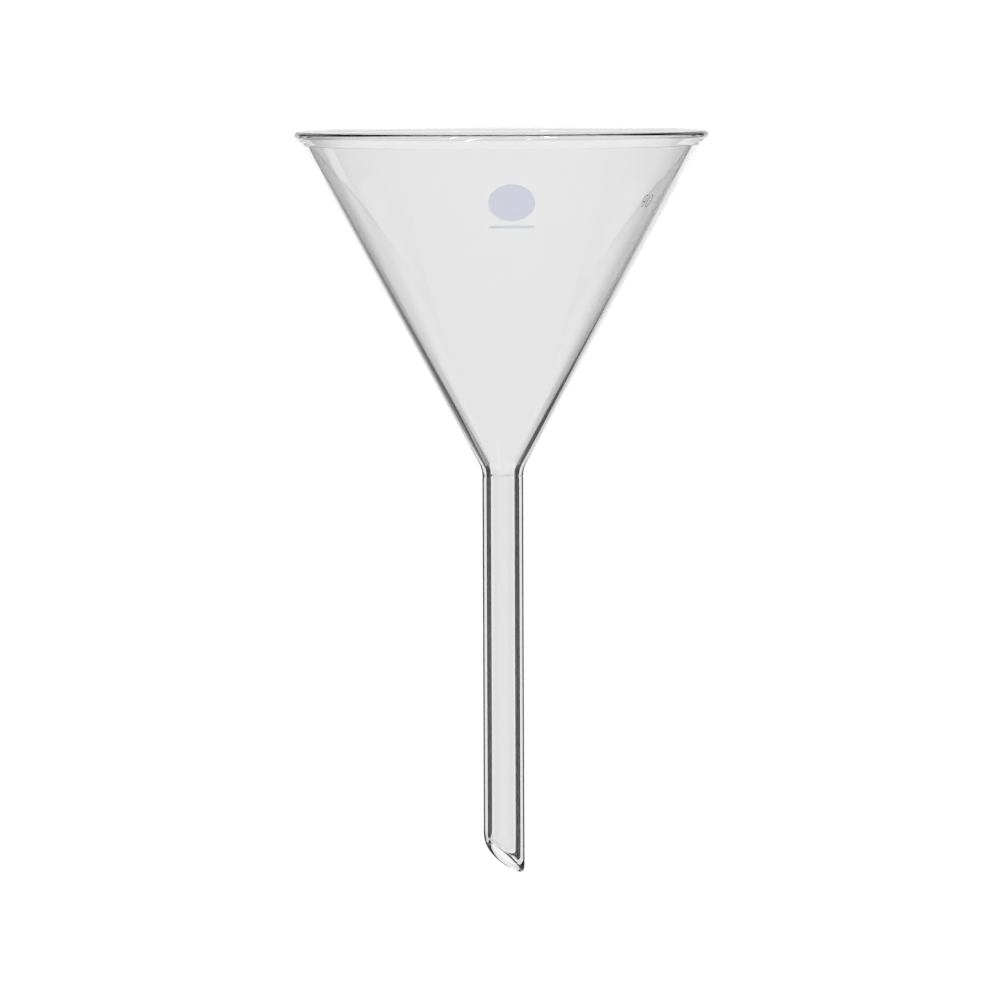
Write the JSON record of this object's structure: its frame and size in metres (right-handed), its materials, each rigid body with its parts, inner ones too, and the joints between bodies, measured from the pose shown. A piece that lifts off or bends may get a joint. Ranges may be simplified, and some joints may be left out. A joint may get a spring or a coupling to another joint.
{
  "type": "glass filter funnel",
  "caption": "Clear glass laboratory funnel: conical bowl with a flared rim, fused to a straight tube stem with a slanting cut tip and a small fired-on print.",
  "frame": {"origin": "on the funnel's axis at the seal, the plane where the stem is fused to the bowl", "axes": "+Z along the axis, from the stem towards the rim; the bowl's print faces -Y; the longest side of the cut tip stands 31.5 degrees round from +X towards +Y"},
  "size_m": [0.09, 0.09, 0.162],
  "materials": {
    "clear_glass": "polished, fire-polished edges",
    "pale_blue_enamel": "thin fired-on ceramic print, slightly see-through",
    "grey_enamel": "thin fired-on ceramic print"
  },
  "bodies": {
    "root": {"bowl": "clear_glass", "stem": "clear_glass", "marking_patch": "pale_blue_enamel", "patch_underline": "pale_blue_enamel", "size_number": "grey_enamel"}
  },
  "joints": []
}
